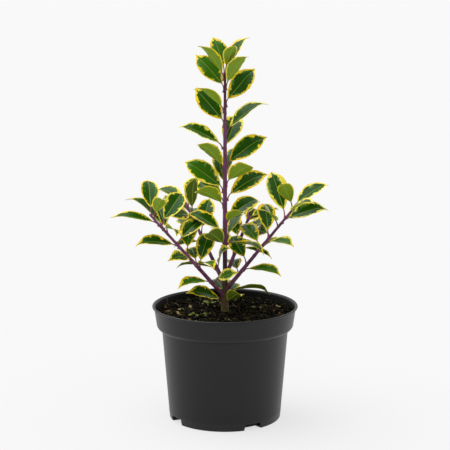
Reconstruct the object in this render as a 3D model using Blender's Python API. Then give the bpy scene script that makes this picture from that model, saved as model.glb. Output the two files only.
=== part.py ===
"""A potted golden king highclere holly.

A moulded nursery pot filled with potting mix carries a straight leader with four boughs, and masses of
variegated leaves stand on the leader and on the ends of the boughs. Metres, +Z up. The origin is the centre
of the pot's flat underside, +X is to the right and +Y is away from the viewer. Bearings are degrees
anticlockwise from +X seen from above, and rises are degrees above the horizontal.
"""

import math
import random

import bmesh
import bpy
from mathutils import Vector
from mathutils.bvhtree import BVHTree

MM = 0.001
CLEARANCE = 0.3 * MM  # between neighbouring sub-parts

# Nursery pot of three litres
POT_HEIGHT = 150 * MM
POT_SEGMENTS = 48
WALL = 1.5 * MM
FLOOR = 2 * MM
BASE_RADIUS = 73 * MM
SHOULDER_RADIUS = 82.5 * MM  # top of the tapering body
SHOULDER_HEIGHT = 119 * MM
COLLAR_ROUNDING = 7 * MM  # the collar stands out from the body by this much
COLLAR_TOP_RADIUS = 92.5 * MM
LIP_RADIUS = 95 * MM
LIP_BEAD = 1.5 * MM  # radius of the rounded lip
NOTCH_BEARINGS = (30, 120, 210, 300)
NOTCH_HALF_ANGLE = 9
NOTCH_SPLAY = 1.5  # degrees that each side leans out towards the foot
NOTCH_HEIGHT = 8 * MM
NOTCH_INNER_RADIUS = 60 * MM

# Potting mix
MIX_CROWN = 141 * MM  # height of the mix at the trunk
MIX_EDGE = 140 * MM  # and against the pot's wall
SEAT_RADIUS = 9 * MM  # level place that the trunk stands on
MIX_LUMPS = 1.2 * MM

# Trunk: heights and radii, from the flare at the mix to the tip
TRUNK_TAPER = ((141.3, 5.8), (150, 4.7), (165, 4.0), (190, 3.1), (270, 2.9), (330, 2.6), (400, 2.1), (452, 1.4))
TRUNK_SIDES = 12

# Boughs: height where the axis leaves the trunk's, bearing, rise, length, and length of the bare foot
BOUGHS = {
    "left": (160, 195, 49, 151, 21),
    "right": (168, 346.5, 51.5, 149, 26),
    "back_left": (176, 128.5, 49, 132, 20),
    "back_right": (185, 54.5, 53.5, 92, 33),
}
BOUGH_ROOT_RADIUS = 3.0 * MM
BOUGH_TIP_RADIUS = 1.4 * MM
BOUGH_SIDES = 8

# Cores that hold the leaves of the leader
CORE_WALL = 0.9 * MM
CORE_REACH = 4 * MM  # past the lowest and the highest leaf
BUD_LENGTH = 5 * MM

# Leaves
PETIOLE = 12 * MM  # from the limb's axis to the blade
PETIOLE_RADIUS = 0.9 * MM
PETIOLE_LIFT = 28  # degrees that a petiole stands steeper than its blade
STEEPEST_PETIOLE = 70
BLADE_WIDTH_SHARE = 0.47  # of the blade's length
BLADE_STATIONS = (0.0, 0.1, 0.28, 0.5, 0.72, 0.9)  # shares of its length where the solid has a section
LEAF_THICKNESS = 0.9 * MM
BOW = 0.2  # how much the midrib arches and bends back at its tip
BOW_BEND = 4  # the higher, the nearer the tip it bends
KEEL = math.radians(16)
LEAF_GAP = 0.6 * MM  # a leaf's blade keeps this far from the leaves and limbs set before it
NUDGES = [(7 * aside, 7 * lift) for aside in (0, 1, -1, 2, -2, 3, -3, 4, -4) for lift in (0, 1, -1, 2, -2)]

# Leaves of each mass, in growing order: where the petiole leaves the limb, the blade's bearing, rise and turn
# about its own length, and its length. Places on the leader are heights, and on a bough distances along it.
LEADER_MASSES = {
    "foliage_foot": (
        (148, 295, 20, -30, 44),
        (151, 205, 15, -30, 48),
        (157, 75, 5, 25, 42),
        (162, 105, 5, -20, 42),
        (166, 20, -10, -20, 52),
    ),
    "foliage_leader_low": (
        (224, 245, 25, 30, 50),
        (231, 320, -10, -5, 54),
        (233, 55, 20, -15, 48),
        (242, 150, 15, -20, 54),
        (254, 300, 20, 0, 50),
        (259, 40, 15, 25, 54),
    ),
    "foliage_leader_middle": (
        (278, 230, 20, 20, 54),
        (283, 125, 15, -45, 54),
        (287, 15, 25, 40, 56),
        (297, 160, 30, -50, 58),
        (302, 110, 40, 0, 46),
        (306, 310, 25, -25, 52),
        (312, 65, 40, -20, 48),
        (325, 220, 35, 15, 50),
        (329, 15, 30, 50, 58),
    ),
    "foliage_leader_upper": (
        (350, 70, 35, 15, 56),
        (354, 170, 20, -25, 56),
        (373, 15, 30, 20, 58),
        (382, 145, 40, -55, 56),
    ),
    "foliage_leader_top": (
        (401, 220, 30, 10, 50),
        (408, 35, 40, 55, 56),
        (427, 145, 40, -45, 54),
        (430, 320, 45, -20, 48),
        (442, 205, 45, 20, 48),
        (448, 35, 48, 5, 50),
        (450, 120, 52, -10, 44),
        (451, 295, 45, -10, 38),
    ),
}
BOUGH_MASSES = {
    "left": (
        (24, 325, 20, 60, 34),
        (26, 220, -5, -20, 46),
        (52, 75, 35, 10, 50),
        (58, 100, 10, -10, 40),
        (58, 295, 0, -5, 44),
        (66, 235, 5, -30, 42),
        (77, 85, 35, 0, 50),
        (90, 200, 10, -25, 50),
        (96, 60, 20, 20, 50),
        (116, 110, 25, -20, 48),
        (121, 155, 30, 10, 58),
        (124, 290, -5, -25, 42),
        (128, 60, 30, 35, 54),
        (130, 180, 5, -15, 54),
        (143, 290, 35, -20, 38),
        (148, 100, 35, 0, 50),
    ),
    "right": (
        (29, 100, 15, -10, 42),
        (36, 325, -5, 15, 50),
        (46, 115, 20, -30, 46),
        (63, 50, 5, -40, 44),
        (75, 115, 10, -20, 48),
        (83, 310, 0, 10, 46),
        (92, 95, 35, 0, 50),
        (95, 105, -10, -55, 46),
        (113, 240, 25, -35, 52),
        (118, 10, 10, 35, 54),
        (127, 115, 50, -25, 58),
        (130, 310, 20, 20, 46),
        (141, 25, 25, 15, 50),
        (142, 245, 40, 25, 42),
    ),
    "back_left": (
        (23, 165, -5, 20, 46),
        (25, 300, 35, 70, 44),
        (60, 60, 5, 0, 48),
        (64, 215, -5, -10, 38),
        (77, 75, 40, 10, 50),
        (80, 120, 5, -20, 50),
        (95, 95, 5, 0, 46),
        (105, 250, 5, -50, 44),
        (108, 130, 15, 5, 54),
        (110, 295, 55, 10, 44),
        (122, 135, 15, 0, 54),
        (122, 75, 30, -5, 46),
    ),
    "back_right": (
        (36, 130, 10, 0, 46),
        (41, 60, -5, 5, 40),
        (44, 345, -5, 10, 38),
        (53, 100, 15, -10, 46),
        (62, 50, 0, 0, 46),
        (66, 0, 5, 20, 38),
        (70, 120, 5, 0, 46),
        (75, 70, 10, 25, 44),
        (84, 40, 5, 0, 46),
        (88, 85, 10, 0, 46),
    ),
}


def new_material(name, colour, roughness, metallic=0.0):
    """A Principled material; colour is linear red, green and blue."""
    material = bpy.data.materials.new(name)
    material.use_nodes = True
    shader = material.node_tree.nodes["Principled BSDF"]
    shader.inputs["Base Color"].default_value = (*colour, 1.0)
    shader.inputs["Roughness"].default_value = roughness
    shader.inputs["Metallic"].default_value = metallic
    material.diffuse_color = (*colour, 1.0)
    return material


def new_object(name, shape, material=None):
    """An object from a shape, which is a list of points and a list of faces."""
    mesh = bpy.data.meshes.new(name)
    mesh.from_pydata(*shape_lists(shape))
    if material:
        mesh.materials.append(material)
    made = bpy.data.objects.new(name, mesh)
    bpy.context.scene.collection.objects.link(made)
    return made


def shape_lists(shape):
    points, faces = shape
    return [tuple(point) for point in points], [], faces


def heading(bearing, rise):
    """The unit vector at a bearing and a rise in degrees."""
    bearing, rise = math.radians(bearing), math.radians(rise)
    return Vector((math.cos(rise) * math.cos(bearing), math.cos(rise) * math.sin(bearing), math.sin(rise)))


def loft(rings, tip=None):
    """A closed shape through rings of equal count, capped flat at the start and at the end or at a tip point."""
    count = len(rings[0])
    points = [point for ring in rings for point in ring]
    faces = [tuple(reversed(range(count)))]
    for ring in range(len(rings) - 1):
        low = ring * count
        for side in range(count):
            after = (side + 1) % count
            faces.append((low + side, low + after, low + count + after, low + count + side))
    last = (len(rings) - 1) * count
    if tip is None:
        faces.append(tuple(range(last, last + count)))
    else:
        points.append(tip)
        faces.extend((last + side, last + (side + 1) % count, len(points) - 1) for side in range(count))
    return points, faces


def limb_shape(start, along, stations, sides):
    """A straight limb from start along a direction, through stations of distance and radius."""
    frame = along.to_track_quat("Z", "Y")
    rings = []
    for distance, radius in stations:
        centre = start + along * distance
        turns = [2 * math.pi * side / sides for side in range(sides)]
        rings.append([centre + frame @ Vector((radius * math.cos(a), radius * math.sin(a), 0)) for a in turns])
    return loft(rings)


def tree_of(shape):
    """A search tree of a shape's faces, to find what touches it."""
    points, faces = shape
    return BVHTree.FromPolygons([tuple(point) for point in points], faces)


def combined(base, others, operation):
    """The base object joined with the others, or cut by them, in one Boolean over their collection."""
    group = bpy.data.collections.new(base.name + "_" + operation.lower())
    for other in others:
        group.objects.link(other)
        bpy.context.scene.collection.objects.unlink(other)
    bpy.context.scene.collection.children.link(group)
    boolean = base.modifiers.new("combine", "BOOLEAN")
    boolean.operation = operation
    boolean.operand_type = "COLLECTION"
    boolean.collection = group
    boolean.solver = "EXACT"
    bpy.context.view_layer.update()
    evaluated = base.evaluated_get(bpy.context.evaluated_depsgraph_get())
    result = bpy.data.meshes.new_from_object(evaluated)
    base.modifiers.remove(boolean)
    base.data = result
    for other in others:
        bpy.data.objects.remove(other)
    bpy.data.collections.remove(group)
    return base


def turned(name, profile, material):
    """A body of revolution from a profile of radius and height that starts and ends on the axis."""
    made = bmesh.new()
    corners = [made.verts.new((radius, 0, height)) for radius, height in profile]
    edges = [made.edges.new(pair) for pair in zip(corners, corners[1:])]
    bmesh.ops.spin(
        made,
        geom=corners + edges,
        cent=(0, 0, 0),
        axis=(0, 0, 1),
        angle=2 * math.pi,
        steps=POT_SEGMENTS,
        use_merge=True,
    )
    bmesh.ops.remove_doubles(made, verts=made.verts, dist=0.001 * MM)
    bmesh.ops.recalc_face_normals(made, faces=made.faces)
    mesh = bpy.data.meshes.new(name)
    made.to_mesh(mesh)
    made.free()
    mesh.shade_smooth()
    mesh.set_sharp_from_angle(angle=math.radians(35))
    mesh.materials.append(material)
    body = bpy.data.objects.new(name, mesh)
    bpy.context.scene.collection.objects.link(body)
    return body


def arc(centre, radius, start, end, steps):
    """Points of radius and height round a centre, from a start to an end angle in degrees."""
    angles = [math.radians(start + (end - start) * step / steps) for step in range(steps + 1)]
    return [(centre[0] + radius * math.cos(a), centre[1] + radius * math.sin(a)) for a in angles]


def collar_centre():
    """Centre of the rounding that carries the body out into the collar."""
    return SHOULDER_RADIUS, SHOULDER_HEIGHT + COLLAR_ROUNDING


def inner_radius_at(height):
    """Radius of the collar's inside at a height."""
    low_radius = SHOULDER_RADIUS + COLLAR_ROUNDING
    low_height = SHOULDER_HEIGHT + COLLAR_ROUNDING
    share = (height - low_height) / (POT_HEIGHT - LIP_BEAD - low_height)
    return low_radius + share * (COLLAR_TOP_RADIUS - low_radius) - WALL


def inner_profile(inset, top):
    """The inside of the pot from a top height down to the floor, moved in by an inset."""
    rounding = arc(collar_centre(), COLLAR_ROUNDING - WALL - inset, 0, -80, 4)
    body_top = (SHOULDER_RADIUS - WALL - inset, SHOULDER_HEIGHT + inset)
    fillet = 2 * MM
    foot_radius = BASE_RADIUS - WALL - inset
    foot = arc((foot_radius - fillet, FLOOR + inset + fillet), fillet, 0, -90, 2)
    return [(inner_radius_at(top) - inset, top), *rounding, body_top, *foot, (0, FLOOR + inset)]


def build_pot(material):
    """The thin moulded shell with its collar and rolled lip, and four drainage notches round its foot."""
    edge = 1.5 * MM
    outer = [(0, 0), *arc((BASE_RADIUS - edge, edge), edge, -90, 0, 2)]
    outer += arc(collar_centre(), COLLAR_ROUNDING, -90, 0, 4)
    lip_centre = (LIP_RADIUS - LIP_BEAD, POT_HEIGHT - LIP_BEAD)
    outer += [(COLLAR_TOP_RADIUS, POT_HEIGHT - 2.4 * LIP_BEAD), *arc(lip_centre, LIP_BEAD, -60, 120, 5)]
    inside = inner_profile(0, POT_HEIGHT - 1.6 * LIP_BEAD)
    pot = turned("pot", outer + inside, material)
    cutters = [new_object(f"notch_{bearing}", notch_shape(bearing)) for bearing in NOTCH_BEARINGS]
    return combined(pot, cutters, "DIFFERENCE")


def notch_shape(bearing):
    """A curved block that cuts one drainage notch through the foot of the wall and the rim of the floor."""
    steps = 4
    below = 2 * MM
    reach = BASE_RADIUS + 4 * MM
    rings = []
    for step in range(steps + 1):
        share = 2 * step / steps - 1
        low = heading(bearing + share * (NOTCH_HALF_ANGLE + NOTCH_SPLAY), 0)
        high = heading(bearing + share * NOTCH_HALF_ANGLE, 0)
        down, up = Vector((0, 0, -below)), Vector((0, 0, NOTCH_HEIGHT))
        inner = NOTCH_INNER_RADIUS
        rings.append([low * inner + down, high * inner + up, high * reach + up, low * reach + down])
    return loft(rings)


def build_potting_mix(material):
    """The filling, mounded towards the trunk and gently lumpy, with a level seat under the trunk."""
    walls = inner_profile(CLEARANCE, MIX_EDGE)
    crown = [(0, MIX_CROWN), (SEAT_RADIUS, MIX_CROWN)]
    rings = 5
    for ring in range(1, rings):
        share = ring / rings
        radius = SEAT_RADIUS + share * (walls[0][0] - SEAT_RADIUS)
        crown.append((radius, MIX_CROWN + share ** 1.5 * (MIX_EDGE - MIX_CROWN)))
    mix = turned("potting_mix", crown + walls, material)
    for vertex in mix.data.vertices:
        radius = math.hypot(vertex.co.x, vertex.co.y)
        on_top = vertex.co.z > MIX_EDGE + 0.01 * MM
        if on_top and radius > SEAT_RADIUS + 1 * MM:
            bearing = math.atan2(vertex.co.y, vertex.co.x)
            vertex.co.z += MIX_LUMPS * math.sin(5 * bearing + radius / (7 * MM)) * math.cos(3 * bearing)
    return mix


def trunk_radius(height):
    """Radius of the trunk at a height, both in metres, level past its ends."""
    below = TRUNK_TAPER[0]
    if height <= below[0] * MM:
        return below[1] * MM
    for above in TRUNK_TAPER[1:]:
        if height <= above[0] * MM:
            share = (height / MM - below[0]) / (above[0] - below[0])
            return (below[1] + share * (above[1] - below[1])) * MM
        below = above
    return below[1] * MM


def trunk_shape(grow=0.0, low=None, high=None):
    """The trunk from the mix to its tip, or a stretch of it, grown outwards by an amount."""
    low = TRUNK_TAPER[0][0] * MM if low is None else low
    high = TRUNK_TAPER[-1][0] * MM if high is None else high
    heights = [low] + [h * MM for h, _ in TRUNK_TAPER if low < h * MM < high] + [high]
    stations = [(height, trunk_radius(height) + grow) for height in heights]
    return limb_shape(Vector(), Vector((0, 0, 1)), stations, TRUNK_SIDES)


def bough_axis(name):
    """Start, direction and length of a bough's axis, which starts on the trunk's axis."""
    height, bearing, rise, length, _ = BOUGHS[name]
    return Vector((0, 0, height * MM)), heading(bearing, rise), length * MM


def bough_radius(name, distance):
    """Radius of a bough, which tapers evenly over its whole length."""
    length = BOUGHS[name][3] * MM
    return BOUGH_ROOT_RADIUS + (BOUGH_TIP_RADIUS - BOUGH_ROOT_RADIUS) * distance / length


def bough_shape(name, low, high, grow=0.0, bud=False):
    """A stretch of a bough between two distances from the trunk's axis, ending in a bud if asked."""
    start, along, _ = bough_axis(name)
    middle = (low + high) / 2
    stations = [(distance, bough_radius(name, distance) + grow) for distance in (low, middle, high)]
    if bud:
        stations += [(high + BUD_LENGTH / 2, BOUGH_TIP_RADIUS), (high + BUD_LENGTH, BOUGH_TIP_RADIUS / 4)]
    return limb_shape(start, along, stations, BOUGH_SIDES)


def blade_half_width(share, blade_length):
    """Half the blade's width at a share of its length: elliptic, widest before the middle, with a short point."""
    return 0.5 * BLADE_WIDTH_SHARE * blade_length * math.sin(math.pi * share ** 0.95) ** 0.82


def leaf_shape(limb, bearing, rise, turn, length, bow, curl, grow=0.0, blade_only=False):
    """A leaf as one closed solid: a thin petiole sunk in its limb and an arched, keeled, lens-thin blade."""
    root, limb_direction, sunk = limb
    along = heading(bearing, rise)
    foot = root + (along - limb_direction * along.dot(limb_direction)).normalized() * sunk
    start = root + heading(bearing, min(rise + PETIOLE_LIFT, STEEPEST_PETIOLE)) * PETIOLE
    level = Vector((0, 0, 1)).cross(along).normalized()
    upper = along.cross(level)

    def section(centre, share, half_width, half_thickness, keel):
        angle = math.radians(turn + curl * share)
        across = level * math.cos(angle) + upper * math.sin(angle)
        face = upper * math.cos(angle) - level * math.sin(angle)
        centre = centre + face * (bow * length * (share - share ** BOW_BEND))
        lift = face * half_width * math.tan(keel)
        out = across * (half_width + grow)
        thick = face * (half_thickness + grow)
        return [centre - thick, centre - out + lift, centre + thick, centre + out + lift]

    rings = []
    if not blade_only:
        rings.append(section(foot, 0, PETIOLE_RADIUS, PETIOLE_RADIUS, 0))
        rings.append(section(foot.lerp(start, 0.85), 0, PETIOLE_RADIUS, PETIOLE_RADIUS, 0))
    for share in BLADE_STATIONS:
        half_width = max(blade_half_width(share, length), PETIOLE_RADIUS)
        rings.append(section(start + along * length * share, share, half_width, LEAF_THICKNESS / 2, KEEL))
    return loft(rings, start + along * (length + grow))


def settled_leaves(seed, rows, place_on, limbs, foreign):
    """The leaves of one mass by the growing rule: each leans aside until it stands clear, or is left out."""
    chance = random.Random(seed)
    leaves = []
    own = []
    for distance, bearing, rise, turn, length in rows:
        limb = place_on(distance * MM)
        bow = BOW * chance.uniform(0.7, 1.3)
        curl = chance.uniform(-15, 15)
        for bearing_nudge, rise_nudge in NUDGES:
            pose = (limb, bearing + bearing_nudge, rise + rise_nudge, turn, length * MM, bow, curl)
            blade = tree_of(leaf_shape(*pose, grow=LEAF_GAP, blade_only=True))
            whole = tree_of(leaf_shape(*pose, grow=LEAF_GAP))
            if not any(blade.overlap(other) for other in limbs + own) and not any(whole.overlap(o) for o in foreign):
                leaves.append(leaf_shape(*pose))
                own.append(tree_of(leaves[-1]))
                break
    foreign.extend(own)
    return leaves


def build_mass(name, core, leaves, limbs, material):
    """A core or stem with its leaves fused on, cut clear of the limbs that it stands round."""
    mass = new_object(name, core, material)
    grown = [new_object(f"{name}_leaf_{i}", leaf) for i, leaf in enumerate(leaves)]
    combined(mass, grown, "UNION")
    if limbs:
        cutters = [new_object(f"{name}_room_{i}", limb) for i, limb in enumerate(limbs)]
        combined(mass, cutters, "DIFFERENCE")
    mass.data.shade_smooth()
    mass.data.set_sharp_from_angle(angle=math.radians(35))
    return mass


def build_plant(bark, young_bark, leaf):
    """The trunk, the boughs and every mass of leaves."""
    new_object("trunk", trunk_shape(), bark).data.shade_smooth()
    room_for_trunk = trunk_shape(grow=CLEARANCE, low=MIX_CROWN - 5 * MM, high=TRUNK_TAPER[-1][0] * MM + CLEARANCE)
    room_for_boughs = []
    limbs_to_miss = [tree_of(trunk_shape(grow=CLEARANCE + CORE_WALL))]
    leaves_to_miss = []
    for name in BOUGHS:
        _, _, length = bough_axis(name)
        bare = BOUGHS[name][4] * MM
        bough = new_object(f"bough_{name}", bough_shape(name, 0, bare), young_bark)
        combined(bough, [new_object(f"{name}_root_room", room_for_trunk)], "DIFFERENCE")
        bough.data.shade_smooth()
        room_for_boughs.append(bough_shape(name, 0, bare, grow=CLEARANCE))
        limbs_to_miss.append(tree_of(bough_shape(name, 2 * BOUGH_ROOT_RADIUS, length + BUD_LENGTH)))

    def on_leader(height):
        return Vector((0, 0, height)), Vector((0, 0, 1)), trunk_radius(height) + CLEARANCE + CORE_WALL / 2

    for seed, (name, rows) in enumerate(LEADER_MASSES.items()):
        leaves = settled_leaves(seed, rows, on_leader, limbs_to_miss, leaves_to_miss)
        low = rows[0][0] * MM - CORE_REACH
        high = rows[-1][0] * MM + CORE_REACH
        core = trunk_shape(grow=CLEARANCE + CORE_WALL, low=low, high=high)
        limbs = [room_for_trunk] + (room_for_boughs if name == "foliage_foot" else [])
        build_mass(name, core, leaves, limbs, leaf)

    for seed, (name, rows) in enumerate(BOUGH_MASSES.items()):
        start, along, length = bough_axis(name)

        def on_bough(distance):
            return start + along * distance, along, bough_radius(name, distance) / 2

        leaves = settled_leaves(seed + len(LEADER_MASSES), rows, on_bough, limbs_to_miss, leaves_to_miss)
        stem = bough_shape(name, BOUGHS[name][4] * MM + CLEARANCE, length, bud=True)
        build_mass(f"foliage_{name}", stem, leaves, [], leaf)


def main():
    for old in list(bpy.data.objects):
        bpy.data.objects.remove(old)
    plastic = new_material("charcoal moulded plastic", (0.033, 0.034, 0.036), 0.45)
    peat = new_material("damp potting mix", (0.018, 0.012, 0.008), 0.95)
    bark = new_material("olive and purple bark", (0.13, 0.07, 0.10), 0.6)
    young_bark = new_material("purple young bark", (0.15, 0.06, 0.14), 0.55)
    leaf = new_material("gold edged holly leaf", (0.09, 0.20, 0.025), 0.35)
    build_pot(plastic)
    build_potting_mix(peat)
    build_plant(bark, young_bark, leaf)


main()
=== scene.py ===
import math
import random

import bmesh
import bpy
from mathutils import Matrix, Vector, noise
from mathutils.bvhtree import BVHTree


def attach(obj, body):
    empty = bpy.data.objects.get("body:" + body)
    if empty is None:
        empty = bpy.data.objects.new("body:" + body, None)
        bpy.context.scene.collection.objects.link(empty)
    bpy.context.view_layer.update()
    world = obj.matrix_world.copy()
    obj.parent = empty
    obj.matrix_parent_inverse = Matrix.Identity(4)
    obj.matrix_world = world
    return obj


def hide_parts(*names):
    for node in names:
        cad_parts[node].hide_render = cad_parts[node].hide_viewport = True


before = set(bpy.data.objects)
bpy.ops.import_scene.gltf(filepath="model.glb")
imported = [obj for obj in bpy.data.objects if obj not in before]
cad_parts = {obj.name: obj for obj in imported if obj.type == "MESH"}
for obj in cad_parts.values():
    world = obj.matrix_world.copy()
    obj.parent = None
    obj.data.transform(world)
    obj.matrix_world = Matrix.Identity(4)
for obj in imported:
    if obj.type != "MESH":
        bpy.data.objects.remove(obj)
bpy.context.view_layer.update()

# Nursery pot: thin black polypropylene, injection moulded in one piece, with a stiffening collar, a rolled
# lip and four drainage notches in its foot. It stands on its own flat underside.
MM = 0.001
POT_HEIGHT = 150 * MM
POT_SEGMENTS = 160
WALL = 1.5 * MM
FLOOR = 2 * MM
BASE_RADIUS = 73 * MM
SHOULDER_RADIUS = 82.5 * MM  # top of the tapering body
SHOULDER_HEIGHT = 119 * MM
COLLAR_ROUNDING = 7 * MM  # the collar stands out from the body by this much
COLLAR_TOP_RADIUS = 92.5 * MM
LIP_RADIUS = 95 * MM
LIP_BEAD = 1.5 * MM  # radius of the rolled lip
FOOT_ROUNDING = 1.5 * MM
FLOOR_FILLET = 2 * MM
MOULD_LINE_HEIGHT = 10 * MM
MOULD_LINE_HALF_WIDTH = 0.5 * MM
MOULD_LINE = 0.12 * MM  # how far the mould line stands out
NOTCH_BEARINGS = (30, 120, 210, 300)
NOTCH_HALF_ANGLE = 9
NOTCH_SPLAY = 1.5  # degrees that each side leans out towards the foot
NOTCH_HEIGHT = 8 * MM
NOTCH_INNER_RADIUS = 60 * MM
NOTCH_STEPS = 8
CUTTER_DEPTH = 2 * MM  # the notches' cutter starts this far below the foot
CUTTER_REACH = 4 * MM  # and ends this far outside it
POT_SHARP_EDGE = 40  # degrees past which an edge of the pot stays sharp
MOULD_GRAIN = (1.1 * MM, 0.06 * MM)  # size and depth of the grain that the mould leaves
DUST_SPECK = 1.5 * MM


def linear(colour):
    """Linear red, green, blue and alpha of an sRGB hex colour."""
    parts = [int(colour[i : i + 2], 16) / 255 for i in (1, 3, 5)]
    return (*[c / 12.92 if c <= 0.04045 else ((c + 0.055) / 1.055) ** 2.4 for c in parts], 1.0)


def add_node(tree, kind, inputs=None, **settings):
    """A node with its settings, and its inputs set to values or linked from other nodes' outputs."""
    made = tree.nodes.new(kind)
    for name, value in settings.items():
        setattr(made, name, value)
    for name, value in (inputs or {}).items():
        if isinstance(value, bpy.types.NodeSocket):
            tree.links.new(value, made.inputs[name])
        else:
            made.inputs[name].default_value = value
    return made


def finish_of(name, colour, roughness, **sockets):
    """A Principled material with its tree, shader and place on the object, for patterns to be added to."""
    material = bpy.data.materials.new(name)
    material.use_nodes = True
    tree = material.node_tree
    shader = tree.nodes["Principled BSDF"]
    shader.inputs["Base Color"].default_value = linear(colour)
    shader.inputs["Roughness"].default_value = roughness
    for socket, value in sockets.items():
        shader.inputs[socket.replace("_", " ")].default_value = value
    place = add_node(tree, "ShaderNodeTexCoord").outputs["Object"]
    material.diffuse_color = linear(colour)
    return material, tree, shader, place


def add_relief(tree, shader, place, grain, depth):
    """Fine unevenness of a surface: grain is the size of its bumps and depth their height."""
    bumps = add_node(tree, "ShaderNodeTexNoise", {"Vector": place, "Scale": 1 / grain, "Detail": 3.0})
    raised = add_node(tree, "ShaderNodeBump", {"Height": bumps.outputs["Fac"], "Distance": depth})
    tree.links.new(raised.outputs["Normal"], shader.inputs["Normal"])


def add_mottle(tree, shader, place, patch, first, second, low=0.35, high=0.65):
    """Two colours that run into each other in patches of a size."""
    patches = add_node(tree, "ShaderNodeTexNoise", {"Vector": place, "Scale": 1 / patch, "Detail": 4.0})
    share = add_node(
        tree, "ShaderNodeMapRange", {"Value": patches.outputs["Fac"], "From Min": low, "From Max": high}
    )
    mixed = tree.nodes.new("ShaderNodeMix")
    mixed.data_type = "RGBA"
    tree.links.new(share.outputs["Result"], mixed.inputs["Factor"])
    mixed.inputs[6].default_value = linear(first)
    mixed.inputs[7].default_value = linear(second)
    tree.links.new(mixed.outputs[2], shader.inputs["Base Color"])


# Moulded polypropylene gives the eye a dark satin shell, lightly grained by the mould. Dust on it shows as
# pale specks, drawn coarser than they are so that they can be seen.
plastic, tree, shader, place = finish_of(
    "moulded black polypropylene", "#090a0c", 0.38, Specular_IOR_Level=0.38
)
add_relief(tree, shader, place, *MOULD_GRAIN)
add_mottle(tree, shader, place, DUST_SPECK, "#08090b", "#46474a", 0.68, 0.82)
# The same plastic inside the pot, dull and painted near black as painted shade for the dim inside of the pot.
shaded_inner_plastic, tree, shader, place = finish_of(
    "polypropylene with painted inner shade", "#040404", 0.6, Specular_IOR_Level=0.12
)
add_relief(tree, shader, place, *MOULD_GRAIN)


def arc(centre, radius, start, end, steps):
    """Points of radius and height round a centre, from a start to an end angle in degrees."""
    angles = [math.radians(start + (end - start) * step / steps) for step in range(steps + 1)]
    return [(centre[0] + radius * math.cos(a), centre[1] + radius * math.sin(a)) for a in angles]


def inner_radius_at(height):
    """Radius of the collar's inside at a height."""
    low_radius = SHOULDER_RADIUS + COLLAR_ROUNDING
    low_height = SHOULDER_HEIGHT + COLLAR_ROUNDING
    share = (height - low_height) / (POT_HEIGHT - LIP_BEAD - low_height)
    return low_radius + share * (COLLAR_TOP_RADIUS - low_radius) - WALL


def heading(bearing, rise):
    """The unit vector at a bearing and a rise in degrees."""
    bearing, rise = math.radians(bearing), math.radians(rise)
    flat = math.cos(rise)
    return Vector((flat * math.cos(bearing), flat * math.sin(bearing), math.sin(rise)))


def loft(rings, tip=None):
    """A closed shape through rings of equal count, flat at its start, and flat or pointed at its end."""
    count = len(rings[0])
    points = [point for ring in rings for point in ring]
    faces = [tuple(reversed(range(count)))]
    for ring in range(len(rings) - 1):
        low = ring * count
        for side in range(count):
            after = (side + 1) % count
            faces.append((low + side, low + after, low + count + after, low + count + side))
    last = (len(rings) - 1) * count
    if tip is None:
        faces.append(tuple(range(last, last + count)))
    else:
        points.append(tip)
        faces.extend((last + side, last + (side + 1) % count, len(points) - 1) for side in range(count))
    return points, faces


def counted_on(faces, points):
    """A further shape's faces, their corners counted on from the points that are there already."""
    return [tuple(len(points) + corner for corner in face) for face in faces]


def new_piece(name, points, faces, materials, face_materials=None, sharp=180):
    """A piece on the plant's only body, smooth except where faces meet more steeply than sharp."""
    mesh = bpy.data.meshes.new(name)
    mesh.from_pydata([tuple(point) for point in points], [], faces)
    for material in materials:
        mesh.materials.append(material)
    if face_materials:
        mesh.polygons.foreach_set("material_index", face_materials)
    mesh.shade_smooth()
    if sharp < 180:
        mesh.set_sharp_from_angle(angle=math.radians(sharp))
    made = bpy.data.objects.new(name, mesh)
    bpy.context.scene.collection.objects.link(made)
    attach(made, "root")
    return made


foot_centre = (BASE_RADIUS - FOOT_ROUNDING, FOOT_ROUNDING)
collar_centre = (SHOULDER_RADIUS, SHOULDER_HEIGHT + COLLAR_ROUNDING)
lip_centre = (LIP_RADIUS - LIP_BEAD, POT_HEIGHT - LIP_BEAD)
slope = (SHOULDER_RADIUS - BASE_RADIUS) / SHOULDER_HEIGHT
line_radius = BASE_RADIUS + slope * MOULD_LINE_HEIGHT
line_low, line_high = MOULD_LINE_HEIGHT - MOULD_LINE_HALF_WIDTH, MOULD_LINE_HEIGHT + MOULD_LINE_HALF_WIDTH
collar_top = POT_HEIGHT - 2.4 * LIP_BEAD
inside_top = POT_HEIGHT - 1.6 * LIP_BEAD
floor_centre = (BASE_RADIUS - WALL - FLOOR_FILLET, FLOOR + FLOOR_FILLET)
profile = [(0, 0), *arc(foot_centre, FOOT_ROUNDING, -90, 0, 5)]
profile += [(line_radius, line_low), (line_radius + MOULD_LINE, MOULD_LINE_HEIGHT), (line_radius, line_high)]
profile += arc(collar_centre, COLLAR_ROUNDING, -90, 0, 10)
profile += [(COLLAR_TOP_RADIUS, collar_top), *arc(lip_centre, LIP_BEAD, -60, 120, 10)]
profile += [(inner_radius_at(inside_top), inside_top)]
profile += arc(collar_centre, COLLAR_ROUNDING - WALL, 0, -80, 8)
profile += [(SHOULDER_RADIUS - WALL, SHOULDER_HEIGHT)]
profile += [*arc(floor_centre, FLOOR_FILLET, 0, -90, 4), (0, FLOOR)]
shell = bmesh.new()
corners = [shell.verts.new((radius, 0, height)) for radius, height in profile]
wires = [shell.edges.new(pair) for pair in zip(corners, corners[1:])]
bmesh.ops.spin(
    shell,
    geom=corners + wires,
    cent=(0, 0, 0),
    axis=(0, 0, 1),
    angle=2 * math.pi,
    steps=POT_SEGMENTS,
    use_merge=True,
)
bmesh.ops.remove_doubles(shell, verts=shell.verts, dist=0.001 * MM)
bmesh.ops.recalc_face_normals(shell, faces=shell.faces)
pot_mesh = bpy.data.meshes.new("nursery_pot")
shell.to_mesh(pot_mesh)
shell.free()
pot_mesh.materials.append(plastic)
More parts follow.
